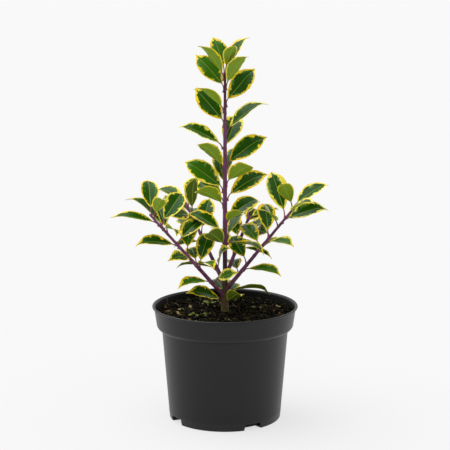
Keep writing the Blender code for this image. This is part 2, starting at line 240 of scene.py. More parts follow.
pot_mesh.materials.append(shaded_inner_plastic)
# Faces that look in towards the pot's axis, below the lip, take the near black painted shade.
for face in pot_mesh.polygons:
    flat_out = Vector((face.center.x, face.center.y, 0))
    face.material_index = int(face.normal.dot(flat_out) < 0 and face.center.z < inside_top)
pot = bpy.data.objects.new("nursery_pot", pot_mesh)
bpy.context.scene.collection.objects.link(pot)

reach = BASE_RADIUS + CUTTER_REACH
cutter_foot, cutter_top = Vector((0, 0, -CUTTER_DEPTH)), Vector((0, 0, NOTCH_HEIGHT))
cutter_points, cutter_faces = [], []
for bearing in NOTCH_BEARINGS:
    rings = []
    for step in range(NOTCH_STEPS + 1):
        share = 2 * step / NOTCH_STEPS - 1
        low = heading(bearing + share * (NOTCH_HALF_ANGLE + NOTCH_SPLAY), 0)
        high = heading(bearing + share * NOTCH_HALF_ANGLE, 0)
        inner_side = [low * NOTCH_INNER_RADIUS + cutter_foot, high * NOTCH_INNER_RADIUS + cutter_top]
        rings.append([*inner_side, high * reach + cutter_top, low * reach + cutter_foot])
    points, faces = loft(rings)
    cutter_faces += counted_on(faces, cutter_points)
    cutter_points += points
cutter = new_piece("notch_cutter", cutter_points, cutter_faces, [])
boolean = pot.modifiers.new("notches", "BOOLEAN")
boolean.operation = "DIFFERENCE"
boolean.solver = "EXACT"
boolean.object = cutter
bpy.context.view_layer.update()
pot.data = bpy.data.meshes.new_from_object(pot.evaluated_get(bpy.context.evaluated_depsgraph_get()))
pot.modifiers.clear()
bpy.data.objects.remove(cutter)
pot.data.shade_smooth()
pot.data.set_sharp_from_angle(angle=math.radians(POT_SHARP_EDGE))
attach(pot, "root")
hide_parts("pot")


# Potting mix: damp black-brown peat and composted bark with fibres, pale grit and a few bark chips, filled
# loose and settled by watering, so that it mounds a little towards the stem.
MIX_CROWN = 141 * MM  # height of the mix at the trunk
MIX_EDGE = 140 * MM  # and against the pot's wall
SEAT_RADIUS = 9 * MM  # level place that the trunk stands on
WALL_GAP = 0.3 * MM
LUMP, LUMP_HEIGHT = 16 * MM, 1.8 * MM
CRUMB, CRUMB_HEIGHT = 4.5 * MM, 1.5 * MM
SETTLED = 0.8 * MM  # the mix has sunk by this much between its lumps
LUMP_REST = 0.3  # the middle of a loose lump stands this share of its size above the mix
MIX_RINGS = 110
MIX_SEGMENTS = 300

# Damp peat gives the eye a dull, near black ground with brown in it, and composted bark crumbs that are
# blacker and browner than it.
peat, tree, shader, place = finish_of("damp peat", "#15110c", 0.95, Specular_IOR_Level=0.1)
add_relief(tree, shader, place, 0.9 * MM, 0.6 * MM)
add_mottle(tree, shader, place, 5 * MM, "#080704", "#1e1a0e")
dark_crumb, tree, shader, place = finish_of("black composted bark", "#090805", 0.9, Specular_IOR_Level=0.1)
add_relief(tree, shader, place, 0.7 * MM, 0.4 * MM)
brown_crumb, tree, shader, place = finish_of("brown composted bark", "#332a16", 0.92, Specular_IOR_Level=0.1)
add_relief(tree, shader, place, 0.7 * MM, 0.4 * MM)
# Dry bark and weathered wood show as rust and straw coloured chips.
rust_chip, tree, shader, place = finish_of("dry pine bark", "#6b4a24", 0.85)
add_mottle(tree, shader, place, 2 * MM, "#4a2f17", "#8a6a3a")
pale_chip, tree, shader, place = finish_of("weathered wood fibre", "#85764a", 0.88)
add_mottle(tree, shader, place, 2 * MM, "#74683c", "#beae72")
# Perlite shows as small cream dots, and moss as dull green tufts with yellower tips.
grit, tree, shader, place = finish_of("perlite", "#d2ca98", 0.9)
add_relief(tree, shader, place, 0.5 * MM, 0.15 * MM)
moss, tree, shader, place = finish_of("moss", "#5c6f1c", 0.9, Sheen_Weight=0.2)
add_mottle(tree, shader, place, 2 * MM, "#4a5c16", "#93a032")


def mix_height(x, y):
    """Height of the mix at a place: mounded, lumpy and crumbly."""
    wall = inner_radius_at(MIX_EDGE)
    radius = math.hypot(x, y)
    share = max(0.0, (radius - SEAT_RADIUS) / (wall - SEAT_RADIUS))
    height = MIX_CROWN + share ** 1.5 * (MIX_EDGE - MIX_CROWN)
    spot = Vector((x, y, 0))
    lumps = noise.noise(spot / LUMP) * LUMP_HEIGHT
    crumbs = noise.fractal(spot / CRUMB, 0.9, 2.1, 4) * CRUMB_HEIGHT
    return height + lumps + crumbs - SETTLED


mix_radius = inner_radius_at(MIX_EDGE) - WALL_GAP
points = [Vector((0, 0, mix_height(0, 0)))]
for ring in range(1, MIX_RINGS + 1):
    radius = mix_radius * ring / MIX_RINGS
    for segment in range(MIX_SEGMENTS):
        turn = 2 * math.pi * segment / MIX_SEGMENTS
        x, y = radius * math.cos(turn), radius * math.sin(turn)
        points.append(Vector((x, y, mix_height(x, y))))
faces = [(0, 1 + segment, 1 + (segment + 1) % MIX_SEGMENTS) for segment in range(MIX_SEGMENTS)]
for ring in range(MIX_RINGS - 1):
    low = 1 + ring * MIX_SEGMENTS
    for segment in range(MIX_SEGMENTS):
        after = (segment + 1) % MIX_SEGMENTS
        faces.append((low + segment, low + MIX_SEGMENTS + segment, low + MIX_SEGMENTS + after, low + after))
mix = new_piece("potting_mix_surface", points, faces, [peat])
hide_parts("potting_mix")


def lump(chance, size, stretch):
    """A small angular lump round the origin, as points and faces."""
    ball = bmesh.new()
    bmesh.ops.create_icosphere(ball, subdivisions=1, radius=1)
    flat = Vector((chance.uniform(0.7, 1.2) * stretch, chance.uniform(0.7, 1.1), chance.uniform(0.4, 0.9)))
    spin = Vector((chance.random(), chance.random(), chance.random())).to_track_quat("Z", "Y")
    points = [spin @ (vert.co * flat * size * chance.uniform(0.75, 1.2)) for vert in ball.verts]
    faces = [tuple(vert.index for vert in face.verts) for face in ball.faces]
    ball.free()
    return points, faces


def scatter(name, seed, count, sizes, materials, stretch=1.0, front=0.0):
    """Lumps of a kind strewn on the mix, with a share of them along its front edge."""
    chance = random.Random(seed)
    points, faces, face_materials = [], [], []
    for _ in range(count):
        turn = chance.uniform(0, 2 * math.pi)
        radius = mix_radius * chance.uniform(0.02, 0.97) ** 0.5
        if chance.random() < front:
            turn = math.radians(chance.gauss(270, 40))
            radius = mix_radius * chance.uniform(0.7, 0.97)
        size = chance.uniform(*sizes) * MM
        x, y = radius * math.cos(turn), radius * math.sin(turn)
        centre = Vector((x, y, mix_height(x, y) + size * LUMP_REST))
        shape_points, shape_faces = lump(chance, size / 2, stretch)
        kind = chance.randrange(len(materials))
        faces += counted_on(shape_faces, points)
        points += [centre + point for point in shape_points]
        face_materials += [kind] * len(shape_faces)
    piece = new_piece(name, points, faces, materials, face_materials, sharp=30)


crumb_kinds = [dark_crumb, brown_crumb, dark_crumb, peat]
scatter("bark_crumbs", 1, 2000, (1.5, 6.0), crumb_kinds, stretch=1.5)
scatter("bark_chips", 2, 30, (3, 6), [rust_chip, brown_crumb, pale_chip], stretch=2.0, front=0.2)
scatter("perlite_grit", 3, 230, (0.8, 2.1), [grit, pale_chip], front=0.5)
scatter("moss_tufts", 4, 60, (1.2, 3.0), [moss], stretch=1.5, front=0.1)

# Debris that can be told apart: three cushions of moss, four larger chips of bark and wood that lie flat, and
# a bit of dead twig that stands on end by the pot's wall.
MOSS_CUSHIONS = ((-21, 45, 13, 60), (-30, -22, 11, 40), (44, 20, 8, 16))  # place and reach in mm, and tufts
TUFT_SIZES = (1.5, 4.5)  # mm
# Place and length of each large chip in mm, and its finish
LARGE_CHIPS = ((68, -6, 10, 1), (71, 24, 8, 2), (2, -40, 7, 0), (-62, -12, 6, 0))
CHIP_SECTIONS = ((0.6, -1), (1.1, -0.3), (0.8, 1))  # size, and place along the chip
CHIP_HALF_WIDTH = 0.17  # of its length
CHIP_HALF_THICKNESS = 0.7 * MM
CHIP_LIFT = 1.2 * MM
DEAD_TWIG = (-77, 40, 11)  # place and height in mm
TWIG_STATIONS = (0, 0.4, 0.75, 1)  # shares of its height
TWIG_RADIUS, TWIG_TAPER = 0.7, 0.3  # mm at its foot, and lost up to its top
TWIG_SIDES = 6
TWIG_WANDER = 0.6 * MM
TWIG_SUNK = 1 * MM
UP = Vector((0, 0, 1))
debris_finishes = [brown_crumb, rust_chip, pale_chip, moss]
MOSS_KIND = debris_finishes.index(moss)
TWIG_KIND = debris_finishes.index(rust_chip)
chance = random.Random(6)
points, faces, face_materials = [], [], []


def tube_ring(centre, cross, other, radius, sides):
    """Points round a centre, in the plane of two crossing directions."""
    turns = [2 * math.pi * side / sides for side in range(sides)]
    return [centre + (cross * math.cos(a) + other * math.sin(a)) * radius for a in turns]


def strew(shape, centre, kind):
    """Adds a shape to the debris, at a centre and in one of its finishes."""
    shape_points, shape_faces = shape
    faces.extend(counted_on(shape_faces, points))
    points.extend(centre + point for point in shape_points)
    face_materials.extend([kind] * len(shape_faces))


for x, y, reach, tufts in MOSS_CUSHIONS:
    for _ in range(tufts):
        spot_x, spot_y = chance.gauss(x, reach / 2) * MM, chance.gauss(y, reach / 3) * MM
        size = chance.uniform(*TUFT_SIZES) * MM
        tuft = lump(chance, size / 2, 1.6)
        strew(tuft, Vector((spot_x, spot_y, mix_height(spot_x, spot_y) + size * 0.4)), MOSS_KIND)
for x, y, length, kind in LARGE_CHIPS:
    centre = Vector((x * MM, y * MM, mix_height(x * MM, y * MM) + CHIP_LIFT))
    along = heading(chance.uniform(0, 180), chance.uniform(5, 20)) * length * MM / 2
    side = UP.cross(along).normalized() * length * CHIP_HALF_WIDTH * MM
    lift = Vector((0, 0, CHIP_HALF_THICKNESS))
    ring = [side + lift, -side + lift, -side - lift, side - lift]
    rings = [[corner * size + along * place for corner in ring] for size, place in CHIP_SECTIONS]
    strew(loft(rings), centre, kind)
x, y, tall = (value * MM for value in DEAD_TWIG)
foot = Vector((x, y, mix_height(x, y) - TWIG_SUNK))
twig_rings = []
for share in TWIG_STATIONS:
    centre = Vector((TWIG_WANDER * math.sin(share * 4), 0, tall * share))
    radius = (TWIG_RADIUS - TWIG_TAPER * share) * MM
    twig_rings.append(tube_ring(centre, Vector((1, 0, 0)), Vector((0, 1, 0)), radius, TWIG_SIDES))
strew(loft(twig_rings), foot, TWIG_KIND)
debris = new_piece("debris_on_mix", points, faces, debris_finishes, face_materials, sharp=30)

# Peat fibres: short strands of moss and root that have not rotted, brown or straw coloured. They lie loose on
# the mix, each a thin three-sided thread that follows the lumps under it.
FIBRES = 420
FIBRE_LENGTHS = (5, 15)  # mm
FIBRE_RADII = (0.15, 0.32)  # mm
FIBRE_STATIONS = 5
FIBRE_LIFT = 0.9 * MM
FIBRE_WALL_GAP = 1 * MM
fibre_finishes = [brown_crumb, pale_chip, rust_chip]
chance = random.Random(5)
points, faces, face_materials = [], [], []
for _ in range(FIBRES):
    turn = chance.uniform(0, 2 * math.pi)
    radius = mix_radius * chance.uniform(0.03, 0.9) ** 0.5
    x, y = radius * math.cos(turn), radius * math.sin(turn)
    along = heading(chance.uniform(0, 360), chance.gauss(6, 14))
    length = chance.uniform(*FIBRE_LENGTHS) * MM
    side = UP.cross(along).normalized()
    bend = side * chance.uniform(-0.25, 0.25) * length
    thick = chance.uniform(*FIBRE_RADII) * MM
    rings = []
    for step in range(FIBRE_STATIONS):
        share = step / (FIBRE_STATIONS - 1)
        spot = Vector((x, y, 0)) + along * (share - 0.5) * length + bend * (share - share * share) * 4
        spot.z = mix_height(spot.x, spot.y) + along.z * (share - 0.5) * length + FIBRE_LIFT
        if math.hypot(spot.x, spot.y) > mix_radius - FIBRE_WALL_GAP:
            break
        rings.append([spot + side * thick, spot + Vector((0, 0, thick)), spot - side * thick])
    if len(rings) == FIBRE_STATIONS:
        shape_points, shape_faces = loft(rings)
        faces += counted_on(shape_faces, points)
        points += shape_points
        face_materials += [chance.choice((0, 0, 1, 2))] * len(shape_faces)
fibres = new_piece("peat_fibres", points, faces, fibre_finishes, face_materials)


# Stems: one straight leader with four boughs, olive and corky at the foot and smooth purple above, swollen a
# little with a bud above each petiole. The leader ends flat at the mix, and the boughs grow out of it.
CLEARANCE = 0.3 * MM
# Heights and radii of the leader in mm, from the flare at the mix to the tip
TRUNK_TAPER = (
    (141.3, 5.8), (150, 4.7), (165, 4.0), (190, 3.1), (270, 2.9), (330, 2.6), (400, 2.1), (452, 1.4)
)
TRUNK_SIDES = 12
# Boughs: height where the axis leaves the leader's, bearing, rise and length, in mm and degrees
BOUGHS = {
    "left": (160, 195, 49, 151),
    "right": (168, 346.5, 51.5, 149),
    "back_left": (176, 128.5, 49, 132),
    "back_right": (185, 54.5, 53.5, 92),
}
BOUGH_ROOT_RADIUS = 3.0 * MM
BOUGH_TIP_RADIUS = 1.4 * MM
BOUGH_SIDES = 8
CORE_WALL = 0.9 * MM
TIP_BUD_LENGTH = 5 * MM
PETIOLE = 12 * MM  # from the limb's axis to the blade
PETIOLE_RADIUS = 0.9 * MM
PETIOLE_LIFT = 28  # degrees that a petiole stands steeper than its blade
STEEPEST_PETIOLE = 70
BLADE_WIDTH_SHARE = 0.47  # of the blade's length
BLADE_STATIONS = (0.0, 0.1, 0.28, 0.5, 0.72, 0.9)  # shares of its length where the solid has a section
LEAF_THICKNESS = 0.9 * MM
BOW = 0.2  # how much the midrib arches and bends back at its tip
BOW_BEND = 4  # the higher, the nearer the tip it bends
KEEL = math.radians(16)
LEAF_GAP = 0.6 * MM  # a leaf's blade keeps this far from the leaves and limbs set before it
# Degrees aside and up that a leaf leans to be clear of the rest, in the order that they are tried
NUDGES = [(7 * aside, 7 * lift) for aside in (0, 1, -1, 2, -2, 3, -3, 4, -4) for lift in (0, 1, -1, 2, -2)]

# Leaves of each mass, in growing order: where the petiole leaves the limb, the blade's bearing, rise and turn
# about its own length, and its length, in mm and degrees. Places on the leader are heights, and on a bough
# distances along it.
LEADER_MASSES = {
    "foliage_foot": (
        (148, 295, 20, -30, 44),
        (151, 205, 15, -30, 48),
        (157, 75, 5, 25, 42),
        (162, 105, 5, -20, 42),
        (166, 20, -10, -20, 52),
    ),
    "foliage_leader_low": (
        (224, 245, 25, 30, 50),
        (231, 320, -10, -5, 54),
        (233, 55, 20, -15, 48),
        (242, 150, 15, -20, 54),
        (254, 300, 20, 0, 50),
        (259, 40, 15, 25, 54),
    ),
    "foliage_leader_middle": (
        (278, 230, 20, 20, 54),
        (283, 125, 15, -45, 54),
        (287, 15, 25, 40, 56),
        (297, 160, 30, -50, 58),
        (302, 110, 40, 0, 46),
        (306, 310, 25, -25, 52),
        (312, 65, 40, -20, 48),
        (325, 220, 35, 15, 50),
        (329, 15, 30, 50, 58),
    ),
    "foliage_leader_upper": (
        (350, 70, 35, 15, 56),
        (354, 170, 20, -25, 56),
        (373, 15, 30, 20, 58),
        (382, 145, 40, -55, 56),
    ),
    "foliage_leader_top": (
        (401, 220, 30, 10, 50),
        (408, 35, 40, 55, 56),
        (427, 145, 40, -45, 54),
        (430, 320, 45, -20, 48),
        (442, 205, 45, 20, 48),
        (448, 35, 48, 5, 50),
        (450, 120, 52, -10, 44),
        (451, 295, 45, -10, 38),
    ),
}
BOUGH_MASSES = {
    "left": (
        (24, 325, 20, 60, 34),
        (26, 220, -5, -20, 46),
        (52, 75, 35, 10, 50),
        (58, 100, 10, -10, 40),
        (58, 295, 0, -5, 44),
        (66, 235, 5, -30, 42),
        (77, 85, 35, 0, 50),
        (90, 200, 10, -25, 50),
        (96, 60, 20, 20, 50),
        (116, 110, 25, -20, 48),
        (121, 155, 30, 10, 58),
        (124, 290, -5, -25, 42),
        (128, 60, 30, 35, 54),
        (130, 180, 5, -15, 54),
        (143, 290, 35, -20, 38),
        (148, 100, 35, 0, 50),
    ),
    "right": (
        (29, 100, 15, -10, 42),
        (36, 325, -5, 15, 50),
        (46, 115, 20, -30, 46),
        (63, 50, 5, -40, 44),
        (75, 115, 10, -20, 48),
        (83, 310, 0, 10, 46),
        (92, 95, 35, 0, 50),
        (95, 105, -10, -55, 46),
        (113, 240, 25, -35, 52),
        (118, 10, 10, 35, 54),
        (127, 115, 50, -25, 58),
        (130, 310, 20, 20, 46),
        (141, 25, 25, 15, 50),
        (142, 245, 40, 25, 42),
    ),
    "back_left": (
        (23, 165, -5, 20, 46),
        (25, 300, 35, 70, 44),
        (60, 60, 5, 0, 48),
        (64, 215, -5, -10, 38),
        (77, 75, 40, 10, 50),
        (80, 120, 5, -20, 50),
        (95, 95, 5, 0, 46),
        (105, 250, 5, -50, 44),
        (108, 130, 15, 5, 54),
        (110, 295, 55, 10, 44),
        (122, 135, 15, 0, 54),
        (122, 75, 30, -5, 46),
    ),
    "back_right": (
        (36, 130, 10, 0, 46),
        (41, 60, -5, 5, 40),
        (44, 345, -5, 10, 38),
        (53, 100, 15, -10, 46),
        (62, 50, 0, 0, 46),
        (66, 0, 5, 20, 38),
        (70, 120, 5, 0, 46),
        (75, 70, 10, 25, 44),
        (84, 40, 5, 0, 46),
        (88, 85, 10, 0, 46),
    ),
}


def limb_shape(start, along, stations, sides):
    """A straight limb from start along a direction, through stations of distance and radius."""
    lean = along.to_track_quat("Z", "Y")
    turns = [2 * math.pi * side / sides for side in range(sides)]
    rings = []
    for distance, radius in stations:
        centre = start + along * distance
        rings.append([centre + lean @ Vector((radius * math.cos(a), radius * math.sin(a), 0)) for a in turns])
    return loft(rings)


def tree_of(shape):
    """A search tree of a shape's faces, to find what touches it."""
    points, faces = shape
    return BVHTree.FromPolygons([tuple(point) for point in points], faces)


def trunk_radius(height):
    """Radius of the trunk at a height, both in metres, level past its ends."""
    below = TRUNK_TAPER[0]
    if height <= below[0] * MM:
        return below[1] * MM
    for above in TRUNK_TAPER[1:]:
        if height <= above[0] * MM:
            share = (height / MM - below[0]) / (above[0] - below[0])
            return (below[1] + share * (above[1] - below[1])) * MM
        below = above
    return below[1] * MM


def trunk_shape(grow):
    """The trunk from the mix to its tip, grown outwards by an amount."""
    stations = [(height * MM, trunk_radius(height * MM) + grow) for height, _ in TRUNK_TAPER]
    return limb_shape(Vector(), UP, stations, TRUNK_SIDES)


def bough_axis(name):
    """Start, direction and length of a bough's axis, which starts on the trunk's axis."""
    height, bearing, rise, length = BOUGHS[name]
    return Vector((0, 0, height * MM)), heading(bearing, rise), length * MM


def bough_radius(name, distance):
    """Radius of a bough, which tapers evenly over its whole length."""
    length = BOUGHS[name][3] * MM
    return BOUGH_ROOT_RADIUS + (BOUGH_TIP_RADIUS - BOUGH_ROOT_RADIUS) * distance / length


def bough_shape(name, low, high):
    """A stretch of a bough between two distances from the trunk's axis."""
    start, along, _ = bough_axis(name)
    stations = [(distance, bough_radius(name, distance)) for distance in (low, (low + high) / 2, high)]
    return limb_shape(start, along, stations, BOUGH_SIDES)


def blade_half_width(share, blade_length):
    """Half the blade's width at a share of its length: an ellipse with a short point at each end."""
    return 0.5 * BLADE_WIDTH_SHARE * blade_length * math.sin(math.pi * share ** 0.95) ** 0.82


def leaf_stand(limb, bearing, rise):
    """A leaf's direction, its petiole's foot and end, and its blade's level and upward directions."""
    root, limb_direction, sunk = limb
    along = heading(bearing, rise)
    foot = root + (along - limb_direction * along.dot(limb_direction)).normalized() * sunk
    start = root + heading(bearing, min(rise + PETIOLE_LIFT, STEEPEST_PETIOLE)) * PETIOLE
    level = UP.cross(along).normalized()
    return along, foot, start, level, along.cross(level)


def turned(level, upper, angle):
    """Directions across a blade and out of its face, when it is turned about its length by an angle."""
    cos, sin = math.cos(math.radians(angle)), math.sin(math.radians(angle))
    return level * cos + upper * sin, upper * cos - level * sin


def leaf_shape(limb, bearing, rise, turn, length, bow, curl, grow=0.0, blade_only=False):
    """A leaf as one closed solid: a thin petiole sunk in its limb and an arched, keeled, lens-thin blade."""
    along, foot, start, level, upper = leaf_stand(limb, bearing, rise)

    def section(centre, share, half_width, half_thickness, keel):
        across, face = turned(level, upper, turn + curl * share)
        centre = centre + face * (bow * length * (share - share ** BOW_BEND))
        lift = face * half_width * math.tan(keel)
        out = across * (half_width + grow)
        thick = face * (half_thickness + grow)
        return [centre - thick, centre - out + lift, centre + thick, centre + out + lift]

    rings = []
    if not blade_only:
        rings.append(section(foot, 0, PETIOLE_RADIUS, PETIOLE_RADIUS, 0))
        rings.append(section(foot.lerp(start, 0.85), 0, PETIOLE_RADIUS, PETIOLE_RADIUS, 0))
    for share in BLADE_STATIONS:
        half_width = max(blade_half_width(share, length), PETIOLE_RADIUS)
        rings.append(section(start + along * length * share, share, half_width, LEAF_THICKNESS / 2, KEEL))
    return loft(rings, start + along * (length + grow))


def settled_poses(seed, rows, place_on, limbs, foreign):
    """How each leaf of one mass stands: it leans aside until it is clear of the rest, or is left out."""
    chance = random.Random(seed)
    poses = []
    own = []
    for distance, bearing, rise, turn, length in rows:
        limb = place_on(distance * MM)
        bow = BOW * chance.uniform(0.7, 1.3)
        curl = chance.uniform(-15, 15)
        for bearing_nudge, rise_nudge in NUDGES:
            pose = (limb, bearing + bearing_nudge, rise + rise_nudge, turn, length * MM, bow, curl)
            blade = tree_of(leaf_shape(*pose, grow=LEAF_GAP, blade_only=True))
            whole = tree_of(leaf_shape(*pose, grow=LEAF_GAP))
            touched = any(blade.overlap(other) for other in limbs + own)
            if not touched and not any(whole.overlap(other) for other in foreign):
                poses.append(pose)
                own.append(tree_of(leaf_shape(*pose)))
                break
    foreign.extend(own)
    return poses


def on_leader(height):
    """Where a petiole leaves the leader: a place on its axis, its direction, and how far out the foot is."""
    return Vector((0, 0, height)), UP, trunk_radius(height) + CLEARANCE + CORE_WALL / 2


limbs_to_miss = [tree_of(trunk_shape(CLEARANCE + CORE_WALL))]
for name in BOUGHS:
    bough_end = bough_axis(name)[2] + TIP_BUD_LENGTH
    limbs_to_miss.append(tree_of(bough_shape(name, 2 * BOUGH_ROOT_RADIUS, bough_end)))
leaves_to_miss = []
poses = {}
for seed, (name, rows) in enumerate(LEADER_MASSES.items()):
    poses[name] = settled_poses(seed, rows, on_leader, limbs_to_miss, leaves_to_miss)
for seed, (name, rows) in enumerate(BOUGH_MASSES.items()):
    start, along, length = bough_axis(name)

    def on_bough(distance):
        """Where a petiole leaves the bough, as on_leader says it for the leader."""
        return start + along * distance, along, bough_radius(name, distance) / 2

    mass = f"foliage_{name}"
    poses[mass] = settled_poses(seed + len(LEADER_MASSES), rows, on_bough, limbs_to_miss, leaves_to_miss)

# Holly bark gives the eye a matt skin that goes from olive and brown at the foot through a dark stretch to
# purple, and to maroon at the tip. The bands run into each other unevenly.
LOWEST, HIGHEST = 160 * MM, 460 * MM
BARK_GRAIN = 1.2 * MM
BAND_PATCH, BAND_WANDER = 9 * MM, 40 * MM
bark, tree, shader, place = finish_of("holly bark", "#5d4464", 0.5, Specular_IOR_Level=0.25)
add_relief(tree, shader, place, BARK_GRAIN, 0.25 * MM)
height = add_node(tree, "ShaderNodeSeparateXYZ", {"Vector": place}).outputs["Z"]
wander = add_node(tree, "ShaderNodeTexNoise", {"Vector": place, "Scale": 1 / BAND_PATCH, "Detail": 4.0})
uneven = add_node(
    tree, "ShaderNodeMath", {0: wander.outputs["Fac"], 1: BAND_WANDER, 2: height}, operation="MULTIPLY_ADD"
)
along_stem = add_node(
    tree, "ShaderNodeMapRange", {"Value": uneven.outputs["Value"], "From Min": LOWEST, "From Max": HIGHEST}
)
ramp = add_node(tree, "ShaderNodeValToRGB", {"Fac": along_stem.outputs["Result"]})
stops = (
    (0.0, "#6a6236"),
    (0.1, "#544228"),
    (0.18, "#351d2a"),
    (0.3, "#5a3052"),
    (0.45, "#774671"),
    (0.8, "#734166"),
    (1.0, "#3f1d2b"),
)
for _ in range(len(stops) - 2):
    ramp.color_ramp.elements.new(0.5)
for element, (share, colour) in zip(ramp.color_ramp.elements, stops):
    element.position = share
    element.color = linear(colour)
tree.links.new(ramp.outputs["Color"], shader.inputs["Base Color"])
# Young bark of the boughs shows as a smoother purple with paler bloom, and bud scales as dull red and green.
bough_bark, tree, shader, place = finish_of("young purple bark", "#5f2f52", 0.45, Specular_IOR_Level=0.25)
add_relief(tree, shader, place, BARK_GRAIN, 0.2 * MM)
add_mottle(tree, shader, place, 6 * MM, "#5a2b4b", "#855074")
bud_skin, tree, shader, place = finish_of("bud scale", "#4c3a2a", 0.4)
add_mottle(tree, shader, place, 1.5 * MM, "#5a2d3c", "#77803a")

STEM_STEP = 1.2 * MM
STEM_SIDES = 28
STEM_FILL = 0.97  # the bark's relief starts from this share of the limb's radius
BARK_RIDGE = 5 * MM  # the relief is about this long up the stem, and a third as wide
RIDGE_HEIGHT = 0.035  # of the stem's radius
SWELLING_REACH, SWELLING_HEIGHT = 1.6 * MM, 0.25 * MM
BUD_STATIONS = ((0, 0.7), (0.3, 1.05), (0.65, 0.8), (0.9, 0.35))  # shares of its length and radii in mm
BUD_LENGTH, BUD_TIP = 3.2 * MM, 3.4 * MM
BUD_SIDES = 8
BUD_RISE = 1.2 * MM  # a bud stands this far above its petiole
BUD_SUNK = 0.3 * MM


def stem_mesh(name, start, along, low, high, radius_at, nodes, material, node):
    """A round stem with bark relief, swollen a little where each petiole stands, with a bud in each axil."""
    lean = along.to_track_quat("Z", "Y")
    count = max(4, round((high - low) / STEM_STEP))
    rings = []
    for step in range(count + 1):
        distance = low + (high - low) * step / count
        swelling = sum(math.exp(-(((distance - place) / SWELLING_REACH) ** 2)) for place, _ in nodes)
        ring = []
        for side in range(STEM_SIDES):
            turn = 2 * math.pi * side / STEM_SIDES
            out = lean @ Vector((math.cos(turn), math.sin(turn), 0))
            spot = start + along * distance + out * radius_at(distance)
            rough = noise.fractal(Vector((spot.x * 3, spot.y * 3, spot.z)) / BARK_RIDGE, 1.0, 2.0, 3)
            radius = radius_at(distance) * (STEM_FILL + RIDGE_HEIGHT * rough)
            radius += SWELLING_HEIGHT * min(1.0, swelling)
            ring.append(start + along * distance + out * radius)
        rings.append(ring)
    points, faces = loft(rings)
    face_materials = [0] * len(faces)
    for place, bearing in nodes:
        flat = heading(bearing, 0)
        out = (flat - along * flat.dot(along)).normalized()
        tip_way = (along * 0.85 + out * 0.5).normalized()
        foot = start + along * (place + BUD_RISE) + out * (radius_at(place) - BUD_SUNK)
        cross = along.cross(out).normalized()
        other = tip_way.cross(cross)
        bud_rings = []
        for share, radius in BUD_STATIONS:
            centre = foot + tip_way * share * BUD_LENGTH
            bud_rings.append(tube_ring(centre, cross, other, radius * MM, BUD_SIDES))
        bud_points, bud_faces = loft(bud_rings, foot + tip_way * BUD_TIP)
        faces += counted_on(bud_faces, points)
        points += bud_points
        face_materials += [1] * len(bud_faces)
    piece = new_piece(name, points, faces, [material, bud_skin], face_materials, sharp=50)
    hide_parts(node)


def nodes_of(*masses):
    """Distance along the limb and bearing of every leaf of some masses."""
    return [(pose[0][0], pose[1]) for mass in masses for pose in poses[mass]]


leader_nodes = [(root.z, bearing) for root, bearing in nodes_of(*LEADER_MASSES)]
trunk_low, trunk_high = TRUNK_TAPER[0][0] * MM, TRUNK_TAPER[-1][0] * MM
stem_mesh("leader_stem", Vector(), UP, trunk_low, trunk_high, trunk_radius, leader_nodes, bark, "trunk")
BOUGH_FOOT = 2 * MM  # from the leader's axis, inside its wood
FORK_SWELLING, FORK_REACH = 0.35, 6 * MM
for name in BOUGHS:
    start, along, length = bough_axis(name)
    bough_nodes = [((root - start).length, bearing) for root, bearing in nodes_of(f"foliage_{name}")]

    def radius_at(distance):
        """Radius of the bough, thickened towards the fork."""
        return bough_radius(name, distance) * (1 + FORK_SWELLING * math.exp(-distance / FORK_REACH))

    stem = f"bough_stem_{name}"
    stem_mesh(stem, start, along, BOUGH_FOOT, length, radius_at, bough_nodes, bough_bark, f"bough_{name}")


# Leaves: leathery blades on short maroon petioles. The upper face is glossy dark green with paler patches
# inside an irregular gold margin; the patches are partly grey green variegation and partly painted sheen. The
# underside is a dull yellow green with a thin gold rim and a raised midrib. Each leaf is grown by the rule
# above, where the stem carries it.
BLADE_ROWS = 36
ROW_CROWDING = 0.06  # how much the rows of faces crowd towards the blade's ends
SKIN = 0.35 * MM  # thickness of the blade
MIDRIB = 0.45 * MM  # half the midrib's width
MIDRIB_GROOVE = 0.12 * MM
MIDRIB_RIDGE = 0.35 * MM  # how far the midrib stands out under the blade's foot
TIP_BEND = 0.78  # share of the blade where its point starts to narrow and turn back
TIP_NARROWING = 0.5
TOOTH_HEIGHT, TOOTH_WIDTH = 0.9 * MM, 1.1 * MM
LEAST_HALF_WIDTH = 0.3 * MM
MARGIN_WIDTHS = (1.7, 2.6)  # mm
FINGER_CHANCE, FINGER_FADE_CHANCE = 0.16, 0.6  # of the gold reaching into the green, and of its drawing back
FINGER_LENGTHS = (1.0, 3.6)  # mm
FINGER_FADE = 0.3
TIP_GOLD_FROM, TIP_GOLD = 0.8, 2.4 * MM  # from this share of the blade on, the margin widens by this much
# The paler patches are partly the leaf's grey green variegation and partly painted sheen.
BLOTCH_CHANCE = 0.26  # of a paler patch starting or ending
# Below this height most undersides take a darker copy of the underside colour as painted shade.
SHADE_HEIGHT, SHADE_CHANCE = 260 * MM, 0.6  # below this height, most undersides are the shaded olive
WAVE_PACE = 17  # radians of the blade's wave over its length
PETIOLE_STEPS = 7
PETIOLE_SIDES = 8
